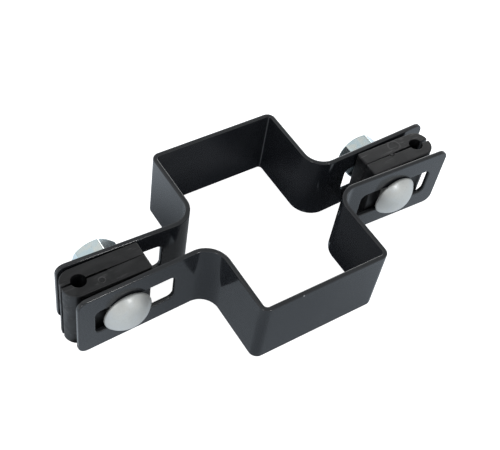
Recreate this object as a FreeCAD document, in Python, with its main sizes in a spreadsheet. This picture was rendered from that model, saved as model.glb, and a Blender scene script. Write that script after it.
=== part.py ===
import FreeCAD, Part
import math
import os
import Sketcher

# Frame: X runs along the fence line, the front with the bolt heads faces -Y, Z is the post axis.
# The origin is on the post axis at the lower edge of the strips. All lengths are millimetres.

# Driving dimensions: name, value, meaning
DIMENSIONS = (
    ("post_width", 40.0, "post size along the fence line"),
    ("post_depth", 60.0, "post size across the fence line"),
    ("play_along", 0.5, "free space on each side of the post, along the fence line"),
    ("play_across", 0.75, "free space on each side of the post, across the fence line"),
    ("strip_width", 24.0, "height of the folded strips"),
    ("strip_thick", 1.5, "sheet thickness of the folded strips"),
    ("overall_length", 130.0, "length over the flange ends"),
    ("flange_gap", 9.1, "distance between the two flanges of one side, at the legs"),
    ("flange_gap_end", 12.0, "distance between the two flanges of one side, at their ends"),
    ("web_bend", 1.2, "inside radius of the bends at the post corners"),
    ("root_bend", 6.0, "inside radius of the bends where the legs turn into flanges"),
    ("flange_corner", 3.0, "corner radius of the flange ends in the flat"),
    ("slot_from_root", 6.3, "flat left between the root bend and the shorter slot"),
    ("long_slot_from_root", 4.5, "flat left between the root bend and the longer slot"),
    ("slot_from_end", 5.3, "flat left between the slots and the flange ends"),
    ("slot_play", 1.0, "space above and below the bolt neck in the slot"),
    ("slot_corner", 1.8, "corner radius of the flange slots"),
    ("left_bolt_from_end", 15.0, "where the left bolt is set, from the flange end"),
    ("right_bolt_from_end", 19.0, "where the right bolt is set, from the flange end"),
    ("block_step", 0.2, "how far the blocks stay inside the strip edges"),
    ("block_play", 0.23, "free space beside the blocks where the flanges come nearest"),
    ("seat_play", 0.05, "space left where a block, head or nut leans on a slanting flange"),
    ("block_inner", 9.1, "block end on the post side, from the bolt axis"),
    ("bore_reach", 11.0, "wire bore, from the bolt axis"),
    ("nose_wall", 5.1, "block end on the panel side, from the bore axis"),
    ("nose_flat", 0.1, "flat left on the block nose beside the mouth"),
    ("wire_bore", 4.5, "diameter of the wire bore"),
    ("slit_half", 0.35, "half of the slit between the block halves"),
    ("slit_start", 2.6, "where the slit begins, from the bolt axis"),
    ("mouth_depth", 0.7, "length of the flared mouth of the slit"),
    ("mouth_half", 0.5, "half of the flared mouth at the nose"),
    ("rib_along", 1.1, "interlocking rib, from the bolt axis"),
    ("rib_round", 0.65, "radius of the interlocking rib"),
    ("rib_length", 7.0, "length of the interlocking rib, from the upper face"),
    ("rib_play", 0.2, "free space round the rib in its groove"),
    ("block_edge", 0.3, "rounding of the moulded edges"),
    ("pin_mark", 3.8, "diameter of the round moulding marks"),
    ("pin_mark_deep", 0.2, "depth of the round moulding marks"),
    ("pin_mark_along", 3.9, "moulding mark of the rear halves, from the bolt axis"),
    ("dot_mark", 1.9, "diameter of the small moulding marks"),
    ("dot_mark_along", 5.3, "moulding mark of the front halves, from the bolt axis"),
    ("mark_across", 2.6, "moulding marks, from the split plane"),
    ("bolt_size", 8.0, "thread diameter of the bolts"),
    ("shank_play", 0.1, "space between shank and nut on the radius"),
    ("bolt_past", 0.2, "how far a bolt set at the flange end stands out of its nut"),
    ("head_size", 14.8, "diameter of the domed head"),
    ("head_tall", 4.6, "height of the domed head"),
    ("head_rim", 0.7, "straight rim under the dome"),
    ("neck_length", 5.0, "length of the square neck"),
    ("shank_chamfer", 0.8, "chamfer at the end of the shank"),
    ("hole_play", 0.3, "space round the bolt in the blocks"),
    ("nut_flats", 13.0, "nut size across the flats"),
    ("nut_tall", 7.5, "nut height"),
    ("nut_face", 0.94, "share of the flats that the flat nut faces keep"),
    ("left_nut_turn", 10.0, "how far the left nut is turned, in degrees"),
    ("right_nut_turn", 14.0, "how far the right nut is turned, in degrees"),
)

SHEET = "Dims"
AT_START = 1
AT_END = 2
HALF_TURN = 180.0
HEX_UPRIGHT = 90.0


class Size:
    """A length together with the sheet expression that drives it."""

    def __init__(self, text, value):
        self.text = text
        self.value = value

    def join(self, sign, other, value):
        text = other.text if isinstance(other, Size) else repr(float(other))
        return Size("(%s %s %s)" % (self.text, sign, text), value)

    def __add__(self, other):
        return self.join("+", other, self.value + number(other))

    def __sub__(self, other):
        return self.join("-", other, self.value - number(other))

    def __mul__(self, other):
        return self.join("*", other, self.value * number(other))

    def __truediv__(self, other):
        return self.join("/", other, self.value / number(other))

    def __neg__(self):
        return Size("(-1.0 * %s)" % self.text, -self.value)


def number(size):
    return size.value if isinstance(size, Size) else float(size)


VALUES = {name: value for name, value, meaning in DIMENSIONS}
ZERO = Size("0", 0.0)


def dim(name):
    return Size("%s.%s" % (SHEET, name), VALUES[name])


def least(first, second):
    return first if first.value < second.value else second


# Derived sizes that several pieces share
POST_HALF_X = dim("post_width") / 2 + dim("play_along")
POST_HALF_Y = dim("post_depth") / 2 + dim("play_across")
MID_HEIGHT = dim("strip_width") / 2
FLANGE_END = dim("overall_length") / 2
FLANGE_SLOPE = (dim("flange_gap_end") - dim("flange_gap")) / 2 / (FLANGE_END - POST_HALF_X)
LEFT_BOLT = FLANGE_END - dim("left_bolt_from_end")
RIGHT_BOLT = FLANGE_END - dim("right_bolt_from_end")


# The flanges open towards their ends, so their place across depends on the place along
def flange_inside(along):
    return dim("flange_gap") / 2 + FLANGE_SLOPE * (along - POST_HALF_X)


def flange_outside(along):
    return flange_inside(along) + dim("strip_thick")


# What leans on a flange touches it where the flange comes nearest
def block_room(bolt):
    return flange_inside(bolt - dim("block_inner"))


def block_lean(bolt):
    return block_room(bolt) - BLOCK_HALF - dim("seat_play")


def head_level(bolt):
    return flange_outside(bolt + dim("head_size") / 2) + dim("seat_play")


def nut_level(bolt):
    return flange_outside(bolt + dim("nut_flats") / 2 * dim("nut_face")) + dim("seat_play")


BLOCK_BASE = dim("block_step")
BLOCK_HEIGHT = dim("strip_width") - dim("block_step") * 2
BLOCK_TOP = BLOCK_BASE + BLOCK_HEIGHT
BLOCK_HALF = least(block_room(LEFT_BOLT), block_room(RIGHT_BOLT)) - dim("block_play")
NOSE_TIP = dim("bore_reach") + dim("nose_wall")
NOSE_ROUND = BLOCK_HALF - dim("mouth_half") - dim("nose_flat")
NECK_HALF = dim("bolt_size") / 2
NECK_END = least(head_level(LEFT_BOLT) + block_lean(LEFT_BOLT), head_level(RIGHT_BOLT) - block_lean(RIGHT_BOLT)) \
    - dim("neck_length")
BOLT_LENGTH = flange_outside(FLANGE_END) * 2 + dim("nut_tall") + dim("bolt_past")

doc = FreeCAD.newDocument("bracket")


def make_sheet():
    sheet = doc.addObject("Spreadsheet::Sheet", SHEET)
    for row, (name, value, meaning) in enumerate(DIMENSIONS, start=1):
        sheet.set("A%d" % row, name)
        sheet.set("B%d" % row, str(value))
        sheet.set("C%d" % row, meaning)
        sheet.setAlias("B%d" % row, name)
    doc.recompute()


def bind(item, target, size):
    item.setExpression(target, size.text)


# Sketches whose corners are tied to the sheet
def add_sketch(body, label, role):
    sketch = body.newObject("Sketcher::SketchObject", label)
    plane = [item for item in body.Origin.OriginFeatures if item.Role == role][0]
    sketch.AttachmentSupport = [(plane, "")]
    sketch.MapMode = "FlatFace"
    return sketch


def raise_sketch(sketch, height):
    bind(sketch, "AttachmentOffset.Base.z", height)


def tie_point(sketch, line, end, kind, size):
    origin = (-1, 1)
    point = (line, end)
    if size.value == 0.0:
        axis = -2 if kind == "DistanceX" else -1
        sketch.addConstraint(Sketcher.Constraint("PointOnObject", line, end, axis))
        return
    first, last = (origin, point) if size.value > 0.0 else (point, origin)
    span = size if size.value > 0.0 else -size
    index = sketch.addConstraint(Sketcher.Constraint(kind, *first, *last, span.value))
    bind(sketch, "Constraints[%d]" % index, span)


def add_outline(sketch, corners):
    first = sketch.GeometryCount
    count = len(corners)
    spots = [FreeCAD.Vector(across.value, along.value, 0) for across, along in corners]
    for index in range(count):
        sketch.addGeometry(Part.LineSegment(spots[index], spots[(index + 1) % count]), False)
    for index in range(count):
        following = first + (index + 1) % count
        sketch.addConstraint(Sketcher.Constraint("Coincident", first + index, AT_END, following, AT_START))
    for index, (across, along) in enumerate(corners):
        tie_point(sketch, first + index, AT_START, "DistanceX", across)
        tie_point(sketch, first + index, AT_START, "DistanceY", along)


def add_rectangle(sketch, left, right, low, high):
    add_outline(sketch, [(left, low), (right, low), (right, high), (left, high)])


def add_circle(sketch, across, along, diameter):
    middle = FreeCAD.Vector(across.value, along.value, 0)
    circle = Part.Circle(middle, FreeCAD.Vector(0, 0, 1), diameter.value / 2)
    line = sketch.addGeometry(circle, False)
    tie_point(sketch, line, 3, "DistanceX", across)
    tie_point(sketch, line, 3, "DistanceY", along)
    index = sketch.addConstraint(Sketcher.Constraint("Diameter", line, diameter.value))
    bind(sketch, "Constraints[%d]" % index, diameter)


# Features inside a body
def add_pad(body, label, sketch, length):
    pad = body.newObject("PartDesign::Pad", label)
    pad.Profile = sketch
    bind(pad, "Length", length)
    doc.recompute()
    return pad


def add_pocket(body, label, sketch, depth=None, backwards=False):
    before = body.Shape.Volume
    pocket = body.newObject("PartDesign::Pocket", label)
    pocket.Profile = sketch
    if depth is None:
        pocket.Type = "ThroughAll"
        pocket.SideType = "Symmetric"
    else:
        bind(pocket, "Length", depth)
    pocket.Reversed = backwards
    doc.recompute()
    if body.Shape.Volume >= before:
        raise RuntimeError("%s takes nothing away" % label)
    return pocket


def add_fillet(body, label, edges, radius):
    base = body.Tip
    if not edges:
        raise RuntimeError("%s finds no edge" % label)
    fillet = body.newObject("PartDesign::Fillet", label)
    fillet.Base = (base, edges)
    bind(fillet, "Radius", radius)
    doc.recompute()
    return fillet


# Edges are picked by where they lie, so the same rule holds for other sizes
def edge_names(shape, rule):
    return ["Edge%d" % index for index, edge in enumerate(shape.Edges, start=1) if rule(edge)]


def runs_along(edge, direction):
    if not isinstance(edge.Curve, Part.Line):
        return False
    return abs(edge.Curve.Direction.dot(direction)) > 0.999


def upright_at(spots):
    def rule(edge):
        if not runs_along(edge, FreeCAD.Vector(0, 0, 1)):
            return False
        foot = edge.Vertexes[0].Point
        return any(math.hypot(foot.x - x.value, foot.y - y.value) < 0.01 for x, y in spots)
    return rule


def across_at(spots):
    def rule(edge):
        if not runs_along(edge, FreeCAD.Vector(0, 1, 0)):
            return False
        foot = edge.Vertexes[0].Point
        return any(math.hypot(foot.x - x.value, foot.z - z.value) < 0.01 for x, z in spots)
    return rule


# Folded strips: a hat profile with square corners, folded by its bend radii and punched
def folded_strip(label):
    body = doc.addObject("PartDesign::Body", label)
    thick = dim("strip_thick")
    leg_face = POST_HALF_X + thick
    web_face = POST_HALF_Y + thick
    inner_root = flange_inside(POST_HALF_X)
    outer_root = flange_outside(leg_face)
    inner_end = flange_inside(FLANGE_END)
    outer_end = flange_outside(FLANGE_END)
    profile = add_sketch(body, label + "_profile", "XY_Plane")
    add_outline(profile, [
        (-FLANGE_END, -inner_end), (-POST_HALF_X, -inner_root), (-POST_HALF_X, -POST_HALF_Y),
        (POST_HALF_X, -POST_HALF_Y), (POST_HALF_X, -inner_root), (FLANGE_END, -inner_end),
        (FLANGE_END, -outer_end), (leg_face, -outer_root), (leg_face, -web_face),
        (-leg_face, -web_face), (-leg_face, -outer_root), (-FLANGE_END, -outer_end),
    ])
    add_pad(body, label + "_strip", profile, dim("strip_width"))
    bends = (
        ("web_inside", POST_HALF_X, POST_HALF_Y, dim("web_bend")),
        ("web_outside", leg_face, web_face, dim("web_bend") + thick),
        ("root_inside", leg_face, outer_root, dim("root_bend")),
        ("root_outside", POST_HALF_X, inner_root, dim("root_bend") + thick),
    )
    for name, across, along, radius in bends:
        rule = upright_at([(across, -along), (-across, -along)])
        add_fillet(body, "%s_%s" % (label, name), edge_names(body.Shape, rule), radius)
    levels = (ZERO, dim("strip_width"))
    corners = [(side, level) for side in (FLANGE_END, -FLANGE_END) for level in levels]
    add_fillet(body, label + "_corners", edge_names(body.Shape, across_at(corners)), dim("flange_corner"))
    punch_slots(body, label)
    return body


def punch_slots(body, label):
    reach = NECK_HALF + dim("slot_play")
    low = MID_HEIGHT - reach
    high = MID_HEIGHT + reach
    root = POST_HALF_X + dim("strip_thick") + dim("root_bend")
    near = root + dim("slot_from_root")
    long_near = root + dim("long_slot_from_root")
    far = FLANGE_END - dim("slot_from_end")
    slots = add_sketch(body, label + "_slots", "XZ_Plane")
    add_rectangle(slots, long_near, far, low, high)
    add_rectangle(slots, -far, -near, low, high)
    add_pocket(body, label + "_punched", slots)
    spots = [(side, level) for side in (long_near, far, -near, -far) for level in (low, high)]
    rounds = edge_names(body.Shape, across_at(spots))
    add_fillet(body, label + "_slot_rounds", rounds, dim("slot_corner"))


# Moulded clamp halves, drawn with the bolt axis at X = 0 and the panel side towards +X
def block_profile(body, label, side):
    profile = add_sketch(body, label + "_profile", "XY_Plane")
    raise_sketch(profile, BLOCK_BASE)
    inner = -dim("block_inner")
    mouth = NOSE_TIP - dim("mouth_depth")
    corners = [
        (inner, BLOCK_HALF), (NOSE_TIP, BLOCK_HALF), (NOSE_TIP, dim("mouth_half")),
        (mouth, dim("slit_half")), (dim("slit_start"), dim("slit_half")),
        (dim("slit_start"), ZERO), (inner, ZERO),
    ]
    if side < 0:
        corners = [(across, -along if along.value else along) for across, along in corners]
    add_outline(profile, corners)
    return add_pad(body, label + "_moulding", profile, BLOCK_HEIGHT)


def sided(size, side):
    return size if side > 0 else -size


def outer_rims(side):
    low = BLOCK_BASE.value
    high = low + BLOCK_HEIGHT.value

    def rule(edge):
        levels = [vertex.Point.z for vertex in edge.Vertexes]
        on_low = all(abs(level - low) < 0.01 for level in levels)
        on_high = all(abs(level - high) < 0.01 for level in levels)
        middle = edge.valueAt((edge.FirstParameter + edge.LastParameter) / 2)
        return (on_low or on_high) and middle.y * side > dim("mouth_half").value

    return rule


def block_half(label, side):
    body = doc.addObject("PartDesign::Body", label)
    block_profile(body, label, side)
    nose = upright_at([(NOSE_TIP, sided(BLOCK_HALF, side))])
    add_fillet(body, label + "_nose", edge_names(body.Shape, nose), NOSE_ROUND)
    add_fillet(body, label + "_rims", edge_names(body.Shape, outer_rims(side)), dim("block_edge"))
    bore = add_sketch(body, label + "_bore_ring", "XY_Plane")
    add_circle(bore, dim("bore_reach"), ZERO, dim("wire_bore"))
    add_pocket(body, label + "_bore", bore)
    if side > 0:
        rib = add_sketch(body, label + "_rib_ring", "XY_Plane")
        raise_sketch(rib, BLOCK_TOP - dim("rib_length"))
        add_circle(rib, dim("rib_along"), ZERO, dim("rib_round") * 2)
        add_pad(body, label + "_rib", rib, dim("rib_length"))
    else:
        groove = add_sketch(body, label + "_groove_ring", "XY_Plane")
        raise_sketch(groove, BLOCK_TOP)
        add_circle(groove, dim("rib_along"), ZERO, (dim("rib_round") + dim("rib_play")) * 2)
        add_pocket(body, label + "_groove", groove, dim("rib_length") + dim("rib_play"))
        seat_neck(body, label)
    hole = add_sketch(body, label + "_hole_ring", "XZ_Plane")
    add_circle(hole, ZERO, MID_HEIGHT, dim("bolt_size") + dim("hole_play") * 2)
    add_pocket(body, label + "_hole", hole)
    mark_moulding(body, label, side)
    return body


def seat_neck(body, label):
    reach = NECK_HALF + dim("hole_play")
    seat = add_sketch(body, label + "_seat_square", "XZ_Plane")
    raise_sketch(seat, NECK_END - dim("hole_play"))
    add_rectangle(seat, -reach, reach, MID_HEIGHT - reach, MID_HEIGHT + reach)
    add_pocket(body, label + "_seat", seat, BLOCK_HALF, backwards=True)


def mark_moulding(body, label, side):
    # The rear halves carry a wide mark above, the front halves a small one below
    along = dim("pin_mark_along") if side > 0 else dim("dot_mark_along")
    size = dim("pin_mark") if side > 0 else dim("dot_mark")
    level = BLOCK_TOP if side > 0 else BLOCK_BASE
    ring = add_sketch(body, label + "_mark_ring", "XY_Plane")
    raise_sketch(ring, level)
    add_circle(ring, along, sided(dim("mark_across"), side), size)
    add_pocket(body, label + "_mark", ring, dim("pin_mark_deep"), backwards=side < 0)


# Carriage bolts, drawn along Y with the head in front and its underside at Y = 0
def carriage_bolt(label):
    body = doc.addObject("PartDesign::Body", label)
    rim = dim("head_size") / 2
    shank = dim("bolt_size") / 2 - dim("shank_play")
    chamfer = dim("shank_chamfer")
    profile = add_sketch(body, label + "_profile", "XY_Plane")
    add_outline(profile, [
        (rim, -dim("head_rim")), (rim, ZERO), (shank, ZERO), (shank, BOLT_LENGTH - chamfer),
        (shank - chamfer, BOLT_LENGTH), (ZERO, BOLT_LENGTH), (ZERO, -dim("head_tall")),
    ])
    rise = dim("head_tall").value - dim("head_rim").value
    bend_last_line(profile, rim.value, rise, -dim("head_rim").value)
    turned = body.newObject("PartDesign::Revolution", label + "_turned")
    turned.Profile = profile
    turned.ReferenceAxis = (profile, ["V_Axis"])
    turned.Angle = 360.0
    doc.recompute()
    neck = add_sketch(body, label + "_neck_square", "XZ_Plane")
    add_rectangle(neck, -NECK_HALF, NECK_HALF, -NECK_HALF, NECK_HALF)
    square = add_pad(body, label + "_neck", neck, dim("neck_length"))
    square.Reversed = True
    doc.recompute()
    return body


def bend_last_line(sketch, radius, rise, level):
    # The straight line from the crown to the rim becomes the dome arc, its centre on the axis
    last = sketch.GeometryCount - 1
    ball = (radius * radius + rise * rise) / (2 * rise)
    centre = FreeCAD.Vector(0, level - rise + ball, 0)
    start = math.atan2(level - centre.y, radius)
    circle = Part.Circle(centre, FreeCAD.Vector(0, 0, 1), ball)
    sketch.toggleConstruction(last)
    arc = sketch.addGeometry(Part.ArcOfCircle(circle, -math.pi / 2, start), False)
    sketch.addConstraint(Sketcher.Constraint("Coincident", arc, AT_START, last, AT_START))
    sketch.addConstraint(Sketcher.Constraint("Coincident", arc, AT_END, last, AT_END))
    sketch.addConstraint(Sketcher.Constraint("PointOnObject", arc, 3, -2))


# Hexagon nuts: a prism cut by two cones for the chamfers, then bored
def hexagon_nut(label, turn):
    tall = dim("nut_tall")
    flat = dim("nut_flats") / 2
    face = flat * dim("nut_face")
    prism = doc.addObject("Part::Prism", label + "_prism")
    prism.Polygon = 6
    bind(prism, "Circumradius", flat / math.cos(math.radians(30.0)))
    bind(prism, "Height", tall)
    prism.Placement.Rotation = FreeCAD.Rotation(FreeCAD.Vector(0, 0, 1), HEX_UPRIGHT)
    bind(prism, "Placement.Rotation.Angle", turn + HEX_UPRIGHT)
    cones = []
    for name, low, high in (("front", face, face + tall * 2), ("rear", face + tall * 2, face)):
        cone = doc.addObject("Part::Cone", "%s_%s_cone" % (label, name))
        bind(cone, "Radius1", low)
        bind(cone, "Radius2", high)
        bind(cone, "Height", tall)
        cones.append(cone)
    faced = doc.addObject("Part::MultiCommon", label + "_faced")
    faced.Shapes = [prism] + cones
    bore = doc.addObject("Part::Cylinder", label + "_thread_bore")
    bind(bore, "Radius", dim("bolt_size") / 2)
    bind(bore, "Height", tall)
    nut = doc.addObject("Part::Cut", label)
    nut.Base = faced
    nut.Tool = bore
    doc.recompute()
    return nut


# Placing and checking
def place(item, turn=None, along=ZERO, across=ZERO, height=ZERO):
    if turn is not None:
        item.Placement = FreeCAD.Placement(FreeCAD.Vector(), turn)
    for axis, size in (("x", along), ("y", across), ("z", height)):
        if size is not ZERO:
            bind(item, "Placement.Base.%s" % axis, size)


def build_strips():
    front = folded_strip("front_bracket")
    rear = folded_strip("rear_bracket")
    place(rear, FreeCAD.Rotation(FreeCAD.Vector(0, 0, 1), HALF_TURN))
    return [front, rear]


def build_side(name, from_post, flipped):
    # The left block is turned over and leans on the rear flange, the right one on the front flange
    along = -from_post if flipped else from_post
    lean = block_lean(from_post) if flipped else -block_lean(from_post)
    pieces = []
    for half, side in (("front", -1), ("rear", 1)):
        block = block_half("%s_block_%s" % (name, half), side)
        if flipped:
            turn = FreeCAD.Rotation(FreeCAD.Vector(0, 1, 0), HALF_TURN)
            place(block, turn, along=along, across=lean, height=dim("strip_width"))
        else:
            place(block, along=along, across=lean)
        pieces.append(block)
    bolt = carriage_bolt(name + "_carriage_bolt")
    place(bolt, along=along, across=-head_level(from_post), height=MID_HEIGHT)
    nut = hexagon_nut(name + "_nut", dim(name + "_nut_turn"))
    backwards = FreeCAD.Rotation(FreeCAD.Vector(1, 0, 0), -90.0)
    place(nut, backwards, along=along, across=nut_level(from_post), height=MID_HEIGHT)
    return pieces + [bolt, nut]


def check_document():
    for item in doc.Objects:
        if "Invalid" in item.State or "Error" in item.State:
            raise RuntimeError("%s did not compute" % item.Label)


def write_pieces(pieces):
    os.makedirs("parts", exist_ok=True)
    for piece in pieces:
        if piece.Shape.isNull() or not piece.Shape.isValid():
            raise RuntimeError("%s has no valid shape" % piece.Label)
        piece.Shape.exportStep("parts/%s.step" % piece.Label)
        print(piece.Label, round(piece.Shape.Volume, 1), len(piece.Shape.Faces))


make_sheet()
all_pieces = build_strips()
all_pieces += build_side("left", LEFT_BOLT, True)
all_pieces += build_side("right", RIGHT_BOLT, False)
doc.recompute()
check_document()
write_pieces(all_pieces)
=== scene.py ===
"""Looks of the fence panel bracket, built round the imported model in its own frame.

Two folded and painted strips close round a post. Four moulded clamp halves sit between their flanges, and
two plated carriage bolts with their nuts draw everything together. Sizes in the classes of the pieces are
millimetres, and meshes are written in metres.
"""

import logging
import math
from abc import ABC, abstractmethod
from dataclasses import dataclass
from enum import Enum
from typing import Callable, ClassVar, Iterable, Sequence, Union

import bmesh
import bpy
from mathutils import Matrix, Vector


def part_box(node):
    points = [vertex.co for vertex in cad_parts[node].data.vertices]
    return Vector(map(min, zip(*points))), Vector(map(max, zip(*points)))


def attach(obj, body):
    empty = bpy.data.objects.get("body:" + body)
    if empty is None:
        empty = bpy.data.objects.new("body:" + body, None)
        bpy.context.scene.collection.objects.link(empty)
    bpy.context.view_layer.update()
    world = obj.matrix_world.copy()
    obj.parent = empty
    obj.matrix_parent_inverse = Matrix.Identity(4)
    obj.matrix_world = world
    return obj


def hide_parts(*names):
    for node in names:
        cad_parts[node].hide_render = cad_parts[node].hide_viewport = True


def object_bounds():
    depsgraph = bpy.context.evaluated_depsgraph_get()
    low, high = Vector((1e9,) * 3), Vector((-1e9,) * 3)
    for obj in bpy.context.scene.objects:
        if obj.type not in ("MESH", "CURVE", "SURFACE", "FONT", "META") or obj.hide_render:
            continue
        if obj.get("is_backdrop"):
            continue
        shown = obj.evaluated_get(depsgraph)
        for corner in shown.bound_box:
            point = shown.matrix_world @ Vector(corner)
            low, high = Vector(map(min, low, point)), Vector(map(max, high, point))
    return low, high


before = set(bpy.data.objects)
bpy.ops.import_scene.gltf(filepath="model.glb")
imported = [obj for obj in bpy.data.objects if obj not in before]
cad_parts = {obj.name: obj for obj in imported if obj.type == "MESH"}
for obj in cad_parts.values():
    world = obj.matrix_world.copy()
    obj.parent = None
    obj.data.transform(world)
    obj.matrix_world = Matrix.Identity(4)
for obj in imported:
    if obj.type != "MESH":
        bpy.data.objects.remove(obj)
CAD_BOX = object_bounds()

LOG = logging.getLogger("fence_panel_bracket")
MM = 0.001
BODY = "root"
QUARTER = math.pi / 2
SAME_PLACE = 1e-8

Point = tuple[float, float]
Triple = tuple[float, float, float]
EdgePoint = tuple[float, float, float, float]
Ring = list[bmesh.types.BMVert]
Reach = Callable[[float], float]
Value = Union["Signal", float, int, Sequence[float], str, bpy.types.ID]


class Station(Enum):
    """A choice between two places, each with its sign along an axis."""

    @property
    def word(self) -> str:
        """The place as the CAD nodes spell it."""
        return self.name.lower()


class Side(Station):
    """The two faces of the fence line: front with the bolt heads, rear with the nuts."""

    FRONT = -1
    REAR = 1


class End(Station):
    """The two ends of the bracket, as seen from the front."""

    LEFT = -1
    RIGHT = 1


class Joining(Enum):
    """How a mould's solid meets the half, in the words of the Boolean modifier."""

    ADDED = "UNION"
    CUT = "DIFFERENCE"


# Node writing


def operation(name: str, swapped: bool = False) -> Callable[..., "Signal"]:
    """Makes a method that adds one Math node.

    Args:
        name: the Math node's operation.
        swapped: whether the signal comes after the other value.

    Returns:
        The method.
    """
    def method(self: "Signal", *others: Value) -> "Signal":
        """The Math node's result for this value and the others."""
        values = (*others, self) if swapped else (self, *others)
        return self.graph.add("ShaderNodeMath", {"operation": name}, dict(enumerate(values))).out()

    return method


class Signal:
    """A node's output socket that takes part in Python arithmetic."""

    def __init__(self, graph: "Graph", socket: bpy.types.NodeSocket) -> None:
        """Keeps the socket and the graph it belongs to."""
        self.graph = graph
        self.socket = socket

    __add__ = operation("ADD")
    __radd__ = operation("ADD", swapped=True)
    __sub__ = operation("SUBTRACT")
    __rsub__ = operation("SUBTRACT", swapped=True)
    __mul__ = operation("MULTIPLY")
    __rmul__ = operation("MULTIPLY", swapped=True)
    __truediv__ = operation("DIVIDE")
    __abs__ = operation("ABSOLUTE")
    __gt__ = operation("GREATER_THAN")
    __lt__ = operation("LESS_THAN")
    least = operation("MINIMUM")
    most = operation("MAXIMUM")
    root = operation("SQRT")
    sign = operation("SIGN")
    sine = operation("SINE")
    cosine = operation("COSINE")
    fraction = operation("FRACT")
    angle_over = operation("ARCTAN2")

    def worn(self, least: float, added: float) -> "Signal":
        """A share of wear: the least everywhere, and the added part where the value is 1."""
        return least + added * self

    def ramp(self, low: Value, high: Value) -> "Signal":
        """Goes smoothly from 0 to 1 between two values.

        Args:
            low: where the result is 0.
            high: where the result is 1.

        Returns:
            The eased value.
        """
        inputs = {"Value": self, "From Min": low, "From Max": high}
        return self.graph.add("ShaderNodeMapRange", {"interpolation_type": "SMOOTHSTEP"}, inputs).out()


class Made:
    """A node that a graph has added."""

    def __init__(self, graph: "Graph", node: bpy.types.Node) -> None:
        """Keeps the node and its graph."""
        self.graph = graph
        self.node = node

    def out(self, key: int | str = 0) -> Signal:
        """One of the node's outputs, by place or name."""
        return Signal(self.graph, self.node.outputs[key])


class Graph:
    """Writes the nodes of one tree."""

    def __init__(self, tree: bpy.types.NodeTree) -> None:
        """Keeps the tree that the nodes go into."""
        self.tree = tree

    @classmethod
    def cleared(cls, owner: bpy.types.Material | bpy.types.World) -> "Graph":
        """Takes the first nodes out of a new material or world.

        Args:
            owner: the material or world.

        Returns:
            Its empty graph.
        """
        owner.use_nodes = True
        owner.node_tree.nodes.clear()
        return cls(owner.node_tree)

    def add(self, kind: str, settings: dict | None = None, inputs: dict | None = None) -> Made:
        """Adds a node.

        Args:
            kind: Blender's name for the node's type.
            settings: the node's own properties, set first; "stops" fills a colour ramp.
            inputs: values or signals for its sockets, by place or name.

        Returns:
            The added node.
        """
        node = self.tree.nodes.new(kind)
        for key, value in (settings or {}).items():
            if key == "stops":
                self._fill_ramp(node.color_ramp, value)
            else:
                setattr(node, key, value)
        for key, value in (inputs or {}).items():
            if isinstance(value, Signal):
                self.tree.links.new(value.socket, node.inputs[key])
            else:
                node.inputs[key].default_value = value
        return Made(self, node)

    @staticmethod
    def _fill_ramp(ramp: bpy.types.ColorRamp, stops: Sequence[tuple[float, Triple]]) -> None:
        """Puts stops into a colour ramp.

        Args:
            ramp: the ramp, with Blender's two first stops.
            stops: places and colours, in order.
        """
        while len(ramp.elements) < len(stops):
            ramp.elements.new(1.0)
        for element, (place, colour) in zip(ramp.elements, stops):
            element.position = place
            element.color = (*colour, 1.0)

    def attribute(self, name: str) -> Made:
        """Reads a value that the mesh carries on its points."""
        return self.add("ShaderNodeAttribute", {"attribute_name": name})

    def split(self, vector: Signal) -> Made:
        """Takes a vector apart into X, Y and Z."""
        return self.add("ShaderNodeSeparateXYZ", {}, {0: vector})

    def place(self) -> Signal:
        """The point's place on its object."""
        return self.add("ShaderNodeTexCoord").out("Object")

    def blend(self, amount: Signal, first: Value, second: Value) -> Signal:
        """Mixes two colours.

        Args:
            amount: 0 for the first, 1 for the second.
            first: a colour or a signal.
            second: a colour or a signal.

        Returns:
            The mixed colour.
        """
        colours = {0: amount, 6: self._colour(first), 7: self._colour(second)}
        return self.add("ShaderNodeMix", {"data_type": "RGBA"}, colours).out(2)

    @staticmethod
    def _colour(value: Value) -> Value:
        """A colour with its alpha, or the signal as it is."""
        return value if isinstance(value, Signal) else (*value, 1.0)

    def relief(self, height: Signal, depth: float, strength: float) -> Signal:
        """Bumps the normal.

        Args:
            height: the relief, 0 to 1.
            depth: what 1 stands for, in metres.
            strength: how much of it shows.

        Returns:
            The bumped normal.
        """
        inputs = {"Height": height, "Distance": depth, "Strength": strength}
        return self.add("ShaderNodeBump", {}, inputs).out()


# Finishes


@dataclass(frozen=True)
class Pattern:
    """Fractal noise through an object, its scale in waves for each metre."""

    scale: float
    detail: float = 2.0
    stir: float = 0.0
    stretch: Triple | None = None
    turn: Triple = (0.0, 0.0, 0.0)

    def on(self, place: Signal) -> Signal:
        """Reads the noise.

        Args:
            place: the point's place on the object.

        Returns:
            The noise, about 0 to 1.
        """
        if self.stretch is not None:
            drawn = {"Vector": place, "Scale": self.stretch, "Rotation": self.turn}
            place = place.graph.add("ShaderNodeMapping", {}, drawn).out()
        inputs = {"Vector": place, "Scale": self.scale, "Detail": self.detail, "Distortion": self.stir}
        return place.graph.add("ShaderNodeTexNoise", {}, inputs).out(0)


@dataclass(frozen=True)
class Specks:
    """Round spots scattered through an object, their scale in cells for each metre.

    A cell has a spot where its random value is above rare. Size and spread are shares of a cell.
    """

    scale: float
    rare: float
    size: float
    spread: float = 0.0

    def on(self, place: Signal) -> Signal:
        """Reads the spots.

        Args:
            place: the point's place on the object.

        Returns:
            1 on a spot, else 0.
        """
        cell = place.graph.add("ShaderNodeTexVoronoi", {}, {"Vector": place, "Scale": self.scale})
        chance = place.graph.add("ShaderNodeSeparateColor", {}, {0: cell.out("Color")})
        size = self.size + self.spread * chance.out(1)
        return (chance.out(0) > self.rare) * (cell.out("Distance") < size)


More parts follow.
